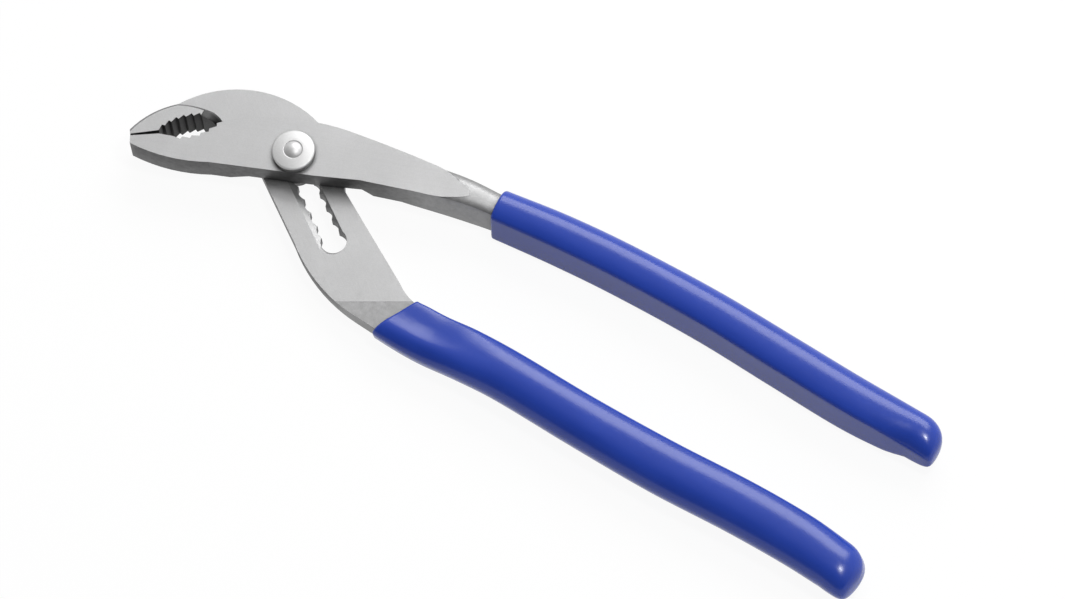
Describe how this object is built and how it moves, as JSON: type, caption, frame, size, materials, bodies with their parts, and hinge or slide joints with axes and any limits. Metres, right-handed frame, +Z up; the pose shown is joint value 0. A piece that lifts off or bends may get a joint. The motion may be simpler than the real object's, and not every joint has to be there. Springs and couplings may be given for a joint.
{
  "type": "tongue and groove pliers",
  "caption": "Hand pliers with toothed angled jaws and lapped levers on a keyed bolt that steps along a scalloped slot to change the jaw opening, with blue dipped plastic grips.",
  "frame": {"origin": "The point where the pivot axis meets the resting plane, on the flat rear head of the pivot bolt, with the jaws closed and the bolt in the first step of the slot.", "axes": "+X runs from the pivot towards the handles, +Y towards the upper handle, and +Z up along the pivot axis, out of the face with the pivot cap."},
  "size_m": [0.2461, 0.0614, 0.0172],
  "materials": {
    "lever_steel": "satin plated forged steel",
    "bolt_steel": "bright plated turned steel",
    "dipped_vinyl": "glossy blue dipped vinyl"
  },
  "bodies": {
    "back_lever": {"back_lever": "lever_steel", "lower_grip": "dipped_vinyl"},
    "pivot_carriage": {"rear_washer": "bolt_steel"},
    "front_lever": {"front_lever": "lever_steel", "pivot_bolt": "bolt_steel", "pivot_cap": "bolt_steel", "upper_grip": "dipped_vinyl"}
  },
  "joints": [
    {"name": "position_adjust", "type": "slide", "parent": "back_lever", "child": "pivot_carriage", "axis": [0.8443, -0.5358, 0], "range_m": [0, 0.0264]},
    {"name": "jaw_pivot", "type": "hinge", "parent": "pivot_carriage", "child": "front_lever", "pos_m": [0, 0, 0.0075], "axis": [0, 0, 1], "range_deg": [0, 46]}
  ]
}
